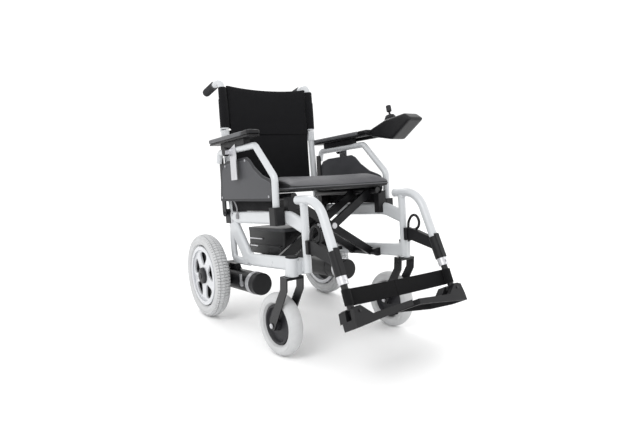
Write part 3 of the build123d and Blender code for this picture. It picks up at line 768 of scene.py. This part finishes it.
def tucked_block(low, high, tuck, round_edge):
    """A block whose sides pull in between its corners, with rounded edges."""
    piece = block(low, high)
    bpy.ops.object.mode_set(mode="EDIT")
    bpy.ops.mesh.select_all(action="SELECT")
    bpy.ops.mesh.subdivide(number_cuts=9)
    bpy.ops.object.mode_set(mode="OBJECT")
    middle, half = (Vector(low) + Vector(high)) / 2, (Vector(high) - Vector(low)) / 2
    for vertex in piece.data.vertices:
        rel = vertex.co - middle
        across, along = rel.x / half.x, rel.y / half.y
        vertex.co.x -= rel.x * tuck / half.x * (1 - along * along) * (abs(across) > 0.8)
    soften(piece, round_edge, 3, 60)
    return piece


# %% [markdown]
# The seat cushion is a foam slab in a coated cover. Its front edge rolls over the rail to
# spare the user's knees, and a piped seam runs round it where the top and side panels meet.

# %% Seat cushion
seat_low, seat_high = rail_box("seat_cushion")
seat_low, seat_high = seat_low - Vector((0.003, 0.008, 0)), seat_high + Vector((0.003, 0, 0.002))
CORNER_SEAT = 0.014


def plan_rounded_block(low, high, corner, edge):
    """A block with rounded corners seen from above, and softer top and bottom edges."""
    piece = block(low, high)
    bpy.ops.object.mode_set(mode="EDIT")
    bpy.ops.mesh.select_all(action="DESELECT")
    bpy.ops.object.mode_set(mode="OBJECT")
    for line in piece.data.edges:
        a, b = (piece.data.vertices[i].co for i in line.vertices)
        line.select = abs(a.z - b.z) > 0.001
    bpy.ops.object.mode_set(mode="EDIT")
    bpy.ops.mesh.select_mode(type="EDGE")
    bpy.ops.mesh.bevel(offset=corner, segments=8)
    bpy.ops.object.mode_set(mode="OBJECT")
    soften(piece, edge, 4, 60)
    return piece


def seat_cushion():
    slab = plan_rounded_block(seat_low, seat_high, CORNER_SEAT, 0.011)
    slab = fit(swell(slab, 0.008), seat_low, seat_high)
    half = (seat_high.x - seat_low.x) / 2
    roll = 0.115
    for vertex in slab.data.vertices:
        top_share = (vertex.co.z - seat_low.z) / (seat_high.z - seat_low.z)
        across = 1 - (vertex.co.x / half) ** 2
        reach = max(0.0, (seat_low.y + roll - vertex.co.y) / roll)
        vertex.co.z -= (0.029 * reach * reach + 0.004 * across) * top_share
        vertex.co.z = max(vertex.co.z, seat_low.z + 0.0004)
    return slab


def painted_sheen_top(piece, material, matrix, level=0.55):
    """The walls of a cushion take the black cover, and the top keeps a lighter grey, which is painted sheen."""
    piece.data.materials.append(material)
    up = (matrix.to_3x3() @ Vector((0, 0, 1))).normalized()
    for face in piece.data.polygons:
        face.material_index = 1 if face.normal.dot(up) < level else 0


# The cushion's top faces carry painted sheen as a lighter grey, and its walls take the black cover.
cushion = settle(seat_cushion(), "seat_pad_cover", RAILS, seat_cover_painted_sheen, 60)
painted_sheen_top(cushion, pad_cover, RAILS)
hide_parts("seat_cushion")
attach(cushion, "seat")
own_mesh(cushion)
print("cushion faces", len(cushion.data.polygons))


def piping():
    """A cord along the seam near the cushion's lower edge, round its front."""
    low, high, r = seat_low, seat_high, CORNER_SEAT
    line = [(low.x + 0.001, low.y + 0.26, low.z + 0.016)]
    for k in (1, 0):
        for i in range(5):
            a = math.pi * (1 + (0.5 * i / 4 if k else 0.5 + 0.5 * i / 4))
            middle = low.x + r if k else high.x - r
            line.append((middle + (r - 0.001) * math.cos(a), low.y + r + (r - 0.001) * math.sin(a),
                         low.z + 0.013))
    line.append((high.x - 0.001, low.y + 0.26, low.z + 0.016))
    return pipe(line, 0.0019, smooth=False)


cord_trim = settle(piping(), "seat_piping", RAILS, pad_grey)
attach(cord_trim, "seat")
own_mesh(cord_trim)

# %% [markdown]
# The back is cloth stretched between the canes. Its two halves meet at the half-fold with a
# flap over the join, so it reads as one sheet. It hollows in the middle, where the cloth
# gives, and the cloth ends in sleeves that the canes pass through.

# %% Back panels


def back_panel(node, dip):
    low, high = rail_box(node)
    panel = plan_rounded_block(low, high, 0.004, 0.003)
    panel = fit(swell(panel, 0.004), low, high)
    half = (high.x - low.x) / 2
    for vertex in panel.data.vertices:
        across = 1 - (vertex.co.x / half) ** 2
        rise = max(0.0, (vertex.co.z - low.z) / (high.z - low.z))
        vertex.co.y += 0.010 * across
        vertex.co.z -= dip * across * rise ** 3
    return panel


back_low, back_high = rail_box("back_pad_upper")


def join_flap():
    """A strip of the upper cloth that hangs over the join in front."""
    flap = block((back_low.x + 0.004, back_low.y - 0.0022, back_low.z - 0.016),
                 (back_high.x - 0.004, back_low.y - 0.0006, back_low.z + 0.03))
    bpy.ops.object.mode_set(mode="EDIT")
    bpy.ops.mesh.select_all(action="SELECT")
    bpy.ops.mesh.subdivide(number_cuts=15)
    bpy.ops.object.mode_set(mode="OBJECT")
    for vertex in flap.data.vertices:
        vertex.co.y += 0.010 * (1 - (vertex.co.x / back_high.x) ** 2)
    return flap


back_pieces = [(back_panel("back_pad_upper", 0.010), "back_cloth_upper", "back_upper"),
               (back_panel("back_pad_lower", 0.0), "back_cloth_lower", "back_lower"),
               (join_flap(), "back_join_flap", "back_upper")]
for piece, name, body in back_pieces:
    panel = settle(piece, name, RAILS, back_cloth, 60)
    if "flap" not in name:
        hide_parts("back_pad_" + body.split("_")[1])
    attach(panel, body)
    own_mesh(panel)

CANE_X, CANE_Y = 0.192, -0.076
for side, k in SIDES.items():
    sleeve = lathe([(0.0126, 0.551), (0.0172, 0.552), (0.0174, 0.60), (0.0170, 0.655),
                    (0.0152, 0.662), (0.0150, 0.700), (0.0126, 0.702)], 32)
    upright = Matrix.Translation((k * CANE_X, CANE_Y - 0.0004, 0)) @ Matrix.Rotation(
        -math.pi / 2, 4, "Y")
    sleeve = settle(sleeve, f"cane_sleeve_{side}", RAILS @ upright, back_cloth, 50)
    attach(sleeve, f"cane_{side}")

# %% [markdown]
# Below the cushion the cover comes down as a short valance on each side, which hides the
# gap above the rail. It is thin cloth with a slow wave along its lower edge.

# %% Valances
for side, k in SIDES.items():
    sheet = block((0.2012, -0.452, 0.2402), (0.2028, -0.114, 0.279))
    bpy.ops.object.mode_set(mode="EDIT")
    bpy.ops.mesh.select_all(action="SELECT")
    bpy.ops.mesh.subdivide(number_cuts=20)
    bpy.ops.object.mode_set(mode="OBJECT")
    for vertex in sheet.data.vertices:
        hang = (0.279 - vertex.co.z) / 0.039
        vertex.co.x += 0.0016 * hang * (1 + math.sin(vertex.co.y * 60))
    place = RAILS if k > 0 else RAILS @ MIRROR
    sheet = settle(sheet, f"seat_valance_{side}", place, back_cloth, 60)
    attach(sheet, f"frame_{side}")

# %% [markdown]
# An armrest pad is soft skinned foam on a stiff base. The top is crowned, a groove runs round
# it where the skin is clamped, and a darker cap closes the front end.

# %% Armrest pads
CAP = 0.055


def arm_pad(node):
    low, high = rail_box(node)
    split, nose = low.z + (high.z - low.z) * 0.3, low.y + CAP
    base = plan_rounded_block(low + Vector((0.002, 0.002, 0)),
                              Vector((high.x - 0.002, high.y - 0.002, split - 0.001)), 0.008, 0.001)
    top = plan_rounded_block(Vector((low.x, nose + 0.0008, split)), high, 0.008, 0.0055)
    cap = plan_rounded_block(Vector((low.x, low.y, split)), Vector((high.x, nose, high.z)),
                             0.012, 0.006)
    return base, top, cap


for side in SIDES:
    finishes = (("base", casting_black), ("skin", pad_grey), ("cap", casting_black))
    for (part, material), piece in zip(finishes, arm_pad(f"arm_pad_{side}")):
        piece = settle(piece, f"arm_pad_{part}_{side}", RAILS, material, 50)
        if part == "skin":
            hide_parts(f"arm_pad_{side}")
        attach(piece, f"armrest_{side}")

# %% [markdown]
# The clothes guard is one moulded panel. A darker rim is raised round its edge to stiffen it,
# which is an inset of the outline and a small push outwards.

# %% Side panels


def outline_of(node, outward):
    """The ordered (y, z) outline, in the rails' plane, of the face that looks outward."""
    mesh, back = frame["nodes"][node].data, RAILS.inverted()
    count, spot = {}, {}
    for face in mesh.polygons:
        if face.normal.x * outward < 0.9:
            continue
        corners = []
        for index in face.vertices:
            place = back @ mesh.vertices[index].co
            key = (round(place.y, 5), round(place.z, 5))
            spot[key] = (place.y, place.z)
            corners.append(key)
        for a, b in zip(corners, corners[1:] + corners[:1]):
            count[frozenset((a, b))] = count.get(frozenset((a, b)), 0) + 1
    links = {}
    for pair, times in count.items():
        if times == 1 and len(pair) == 2:
            a, b = pair
            links.setdefault(a, []).append(b)
            links.setdefault(b, []).append(a)
    start = min(links)
    loop, previous, here = [start], None, start
    while True:
        ahead = [n for n in links[here] if n != previous][0]
        if ahead == start:
            return [spot[key] for key in loop]
        loop.append(ahead)
        previous, here = here, ahead


def clearance(spot, loop):
    """How far a point is from the nearest edge of an outline."""
    spot, nearest = Vector(spot), 1.0
    for a, b in zip(loop, loop[1:] + loop[:1]):
        a, b = Vector(a), Vector(b)
        share = min(1.0, max(0.0, (spot - a).dot(b - a) / (b - a).length_squared))
        nearest = min(nearest, (a + (b - a) * share - spot).length)
    return nearest


LEAST_STEP = 0.0012


def stepped(loop, step=0.003):
    """The same outline with points no further apart than a step."""
    spots = []
    for a, b in zip(loop, loop[1:] + loop[:1]):
        count = math.ceil(math.dist(a, b) / step)
        spots += [(a[0] + (b[0] - a[0]) * i / count, a[1] + (b[1] - a[1]) * i / count)
                  for i in range(count)]
    return spots


def inset_loop(loop, inset):
    """The same outline, moved inwards. Points that would cross at a tight corner are dropped."""
    area = sum(a[0] * b[1] - b[0] * a[1] for a, b in zip(loop, loop[1:] + loop[:1]))
    inward = math.copysign(inset, area)
    moved, fine = [], stepped(loop)
    for before, here, after in zip(fine[-1:] + fine[:-1], fine, fine[1:] + fine[:1]):
        along = Vector((after[0] - before[0], after[1] - before[1])).normalized()
        moved.append((here[0] - along.y * inward, here[1] + along.x * inward))
    kept = []
    for spot in moved:
        apart = not kept or math.dist(spot, kept[-1]) > LEAST_STEP
        if apart and clearance(spot, loop) > 0.985 * inset:
            kept.append(spot)
    while math.dist(kept[0], kept[-1]) < LEAST_STEP:
        kept.pop()
    return kept


PLATE_SMOOTH = 12
panel_low, panel_high = rail_box("side_panel_left")
for side, k in SIDES.items():
    loop = outline_of(f"side_panel_{side}", k)
    sheet = flat_plate([inset_loop(loop, 0.0008)], panel_high.x - panel_low.x, 0.0008)
    border = flat_plate([inset_loop(loop, 0.0008), inset_loop(loop, 0.009)], 0.0026, 0.0007)
    trim = flat_plate([inset_loop(loop, 0.009), inset_loop(loop, 0.0108)], 0.0016, 0.0004)
    middle = k * (panel_high.x + panel_low.x) / 2
    layers = (("clothes_guard", sheet, 0, panel_grey), ("guard_border", border, 0.0016, panel_border),
              ("guard_trim", trim, 0.0016, pad_grey))
    for name, piece, out, material in layers:
        place = RAILS @ Matrix.Translation((middle + k * out, 0, 0))
        piece = settle(piece, f"{name}_{side}", place, material, PLATE_SMOOTH)
        if name == "clothes_guard":
            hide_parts(f"side_panel_{side}")
        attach(piece, f"armrest_{side}")

# %% [markdown]
# The heel strap is webbing that sags back between the legs. Its halves meet in the middle, and the edges are
# bound.

# %% Heel strap
STRAP_BOW = 0.012
LOOP_IN, LOOP_OUT, LOOP_SET, LEG_PLANE = 0.0104, 0.0128, -0.0117, 0.197


def leg_loop(bottom, top, k):
    """The strap's end, sewn round the footrest's tube as a sleeve."""
    run = top - bottom
    profile = [(LOOP_IN, -run.length / 2), (LOOP_OUT, -run.length / 2),
               (LOOP_OUT, run.length / 2), (LOOP_IN, run.length / 2)]
    sleeve = lathe(profile, 40)
    turn = Vector((1, 0, 0)).rotation_difference(run).to_matrix().to_4x4()
    middle = (bottom + top) / 2 + LOOP_SET * Vector((0, run.z, -run.y)).normalized()
    middle.x = k * LEG_PLANE
    sleeve.data.transform(Matrix.Translation(middle) @ turn)
    return sleeve


def strap_half(side, k):
    low, high = rail_box(f"heel_strap_{side}")
    node, back = frame["nodes"][f"heel_strap_{side}"], RAILS.inverted()
    flats = [back @ v.co for v in node.data.vertices if abs(v.co.x) < 0.01]
    top = max(flats, key=lambda p: p.z)
    bottom = min(flats, key=lambda p: p.z)
    columns, rows = 40, 8
    spots, faces = [], []
    for i in range(columns + 1):
        x = k * (0.001 + (0.1945 - 0.001) * i / columns)
        bow = STRAP_BOW * (1 - (x / 0.1945) ** 2)
        for j in range(rows + 1):
            spot = bottom.lerp(top, j / rows)
            spots.append((x, spot.y + bow * 0.92, spot.z - bow * 0.38))
    for i in range(columns):
        for j in range(rows):
            a = i * (rows + 1) + j
            faces.append((a, a + rows + 1, a + rows + 2, a + 1))
    mesh = bpy.data.meshes.new("strap")
    mesh.from_pydata(spots, [], faces)
    strap = bpy.data.objects.new("strap", mesh)
    bpy.context.scene.collection.objects.link(strap)
    clear_selection()
    strap.select_set(True)
    bpy.context.view_layer.objects.active = strap
    modify(strap, "SOLIDIFY", thickness=0.0022, offset=0)
    bpy.ops.object.mode_set(mode="EDIT")
    bpy.ops.mesh.select_all(action="SELECT")
    bpy.ops.mesh.normals_make_consistent(inside=False)
    bpy.ops.object.mode_set(mode="OBJECT")
    rims = [pipe([spots[i * (rows + 1) + j] for i in range(columns + 1)], 0.0017, smooth=False)
            for j in (0, rows)]
    return join([strap, leg_loop(bottom, top, k)] + rims)


for side, k in SIDES.items():
    strap = settle(strap_half(side, k), f"heel_webbing_{side}", RAILS, webbing_black, 50)
    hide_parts(f"heel_strap_{side}")
    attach(strap, f"hanger_{side}")
    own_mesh(strap)

# %% [markdown]
# Small fittings finish the chair: the cables' rods beside the battery, the webbing hooks that
# hold the guards down on the rails, the release loops on the footrests' latches, a bright
# band round each motor, and ribs on the push grips.

# %% Small fittings


def both_sides(make, name, body, material, matrix=None):
    for side, k in SIDES.items():
        place = (matrix or RAILS) if k > 0 else MIRROR @ (matrix or RAILS)
        piece = settle(make(), f"{name}_{side}", place, material, 40)
        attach(piece, f"{body}_{side}")


def guard_hook():
    """A strap over the rail: down from the guard, out round the rail, ending in a clip."""
    line = [(0.2213, -0.150, 0.282), (0.2225, -0.165, 0.268), (0.2165, -0.172, 0.250),
            (0.2120, -0.168, 0.238), (0.2105, -0.165, 0.224)]
    strap = pipe(line, 0.0045)
    strap.data.transform(Matrix.Translation((0.2115, 0, 0)) @ Matrix.Scale(0.3, 4, (1, 0, 0))
                         @ Matrix.Translation((-0.2115, 0, 0)))
    clip = block((0.2086, -0.174, 0.212), (0.2126, -0.156, 0.229))
    soften(clip, 0.001, 2)
    return join([strap, clip])


def release_loop():
    line = [(0.197, -0.616, 0.153), (0.197, -0.622, 0.178), (0.197, -0.645, 0.196),
            (0.197, -0.664, 0.184), (0.197, -0.664, 0.160), (0.197, -0.652, 0.150)]
    return pipe(line, 0.0044)


def motor_band():
    band = lathe([(0.0394, -0.011), (0.0412, -0.0105), (0.0412, 0.0105), (0.0394, 0.011)], 64)
    return band


both_sides(guard_hook, "guard_hook", "armrest", strap_grey)
both_sides(release_loop, "release_loop", "hanger", casting_black)
motor_low, motor_high = rail_box("motor_left")
along = Matrix.Translation(((motor_low.x + motor_high.x) / 2, motor_low.y + 0.044,
                            (motor_low.z + motor_high.z) / 2)) @ Matrix.Rotation(math.pi / 2, 4, "Z")
both_sides(motor_band, "motor_band", "frame", zinc_plate, RAILS @ along)
battery_low, battery_high = rail_box("battery_box")
for number, (rear, front, height) in enumerate(((-0.045, -0.155, 0.128), (-0.055, -0.118, 0.100))):
    rod = pipe([(battery_low.x - 0.0026, rear, height), (battery_low.x - 0.0026, front, height)],
               0.0024, smooth=False)
    rod = settle(rod, f"battery_rib_{number}", RAILS, zinc_plate)
    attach(rod, "battery")
lid = plan_rounded_block(Vector((battery_low.x - 0.002, battery_low.y - 0.002, battery_high.z - 0.012)),
                         Vector((battery_high.x + 0.002, -0.038, battery_high.z + 0.0006)),
                         0.008, 0.002)
lid = settle(lid, "battery_lid", RAILS, panel_grey)
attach(lid, "battery")

mounts = {mount["name"]: mount for mount in frame["record"]["mounts"]}
for side, k in SIDES.items():
    mount = mounts[f"grip_{side}"]
    half = mount["dims"]["length_mm"] / 2000 + 0.003
    wave = [(0.0150 + 0.0007 * math.cos(i * math.pi), -half + 0.006 + i * (2 * half - 0.012) / 28)
            for i in range(29)]
    end_cap = [(0.0148, half), (0.0135, half + 0.0015), (0, half + 0.0015),
               (0, half + 0.0003), (0.0127, half + 0.0003)]
    profile = [(0.0127, -half), (0.0148, -half)] + wave + end_cap
    rearward = math.copysign(1, mount["axis"][1]) * Vector(mount["axis"])
    turn = Vector((1, 0, 0)).rotation_difference(rearward).to_matrix().to_4x4()
    grip = settle(lathe(profile, 40), f"ribbed_grip_{side}",
                  Matrix.Translation(Vector(mount["pos_m"])) @ turn, grip_black, 40)
    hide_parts(f"push_grip_{side}")
    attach(grip, f"cane_{side}")

# %% [markdown]
# The joystick stands in a rubber boot. Its two ripples are rings about the axis that the
# power button is pressed along, which is the case's own upright.

# %% Controller
stick = joints["stick_left_right"]
case_up = -Vector(joints["power_press"]["axis"])
turn = Vector((1, 0, 0)).rotation_difference(case_up).to_matrix().to_4x4()
boot = lathe([(0.0125, 0.001), (0.0235, 0.001), (0.0240, 0.004), (0.0205, 0.0065), (0.0215, 0.009),
              (0.0190, 0.0115), (0.0195, 0.0135), (0.0165, 0.016), (0.0165, 0.0185), (0.0138, 0.0205),
              (0.0125, 0.0205)], 48)
boot_foot = Vector(stick["pos_m"]) + case_up * 0.0045
boot = settle(boot, "joystick_boot", Matrix.Translation(boot_foot) @ turn, grip_black, 50)
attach(boot, "controller")


def rounded_case():
    """The controller's case, with its hard edges melted by a fine remesh."""
    clear_selection()
    source = frame["nodes"]["controller_case"]
    mesh = source.data.copy()
    case = bpy.data.objects.new("case", mesh)
    bpy.context.scene.collection.objects.link(case)
    case.select_set(True)
    bpy.context.view_layer.objects.active = case
    modify(case, "REMESH", mode="VOXEL", voxel_size=0.0022)
    modify(case, "SMOOTH", factor=0.7, iterations=36)
    return case


case = settle(rounded_case(), "controller_shell", Matrix.Identity(4), gloss_black, 60)
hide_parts("controller_case")
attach(case, "controller")

# %% [markdown]
# Screws and nuts are what makes a frame look assembled. One button-head screw and one hex nut
# are modelled at a working size, and each copy is turned to the face that it sits on.

# %% Fasteners


def button_screw(radius=0.005, height=0.003):
    """A domed head with a hexagon socket, standing on z = 0 and pointing up."""
    screw = drum(radius, height, (0, 0, height / 2), "Z", 24)
    pick(screw, lambda middle, normal: normal.z > 0.9)
    bpy.ops.mesh.inset(thickness=radius * 0.25, depth=height * 0.25)
    bpy.ops.mesh.inset(thickness=radius * 0.25, depth=0)
    bpy.ops.mesh.inset(thickness=0.0001, depth=-height * 0.5)
    bpy.ops.object.mode_set(mode="OBJECT")
    return screw


def hex_nut(radius=0.0075, height=0.005):
    nut = drum(radius, height, (0, 0, height / 2), "Z", 6)
    soften(nut, 0.0006, 2)
    stud = drum(radius * 0.5, height * 1.5, (0, 0, height * 0.75), "Z", 20)
    soften(stud, 0.0005, 1)
    return join([nut, stud])


def fasten(maker, name, body, spots, material, slot, **sizes):
    """Copies of one fastener, joined into one piece that rides on a body."""
    pieces = []
    for place, direction in spots:
        piece = maker(**sizes)
        turn = Vector((0, 0, 1)).rotation_difference(Vector(direction)).to_matrix().to_4x4()
        piece.data.transform(Matrix.Translation(place) @ turn)
        pieces.append(piece)
    group = settle(join(pieces), name, Matrix.Identity(4), material, 30)
    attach(group, body)
    return group


def on_rails(x, y, z):
    return RAILS @ Vector((x, y, z))


def turned(x, y, z):
    return RAILS.to_3x3() @ Vector((x, y, z))


for side, k in SIDES.items():
    roll = joints[f"caster_roll_{side}"]
    hub, along = Vector(roll["pos_m"]), Vector(roll["axis"])
    reach = 0.033
    ends = [(hub + along * reach, along), (hub - along * reach, -along)]
    fasten(hex_nut, f"caster_nuts_{side}", f"caster_{side}", ends, zinc_plate, "bright_steel",
           radius=0.0085, height=0.004)
    rail = [(on_rails(k * 0.208, y, z), turned(k, 0, 0))
            for y, z in ((-0.118, 0.230), (-0.118, 0.204))]
    fasten(button_screw, f"rail_screws_{side}", f"frame_{side}", rail, zinc_plate, "bright_steel")
    panel = [(on_rails(k * 0.2263, y, z), turned(k, 0, 0))
             for y, z in ((-0.085, 0.292), (-0.44, 0.287), (-0.13, 0.405), (-0.29, 0.413))]
    fasten(button_screw, f"guard_screws_{side}", f"armrest_{side}", panel, zinc_plate,
           "bright_steel", radius=0.004, height=0.0022)
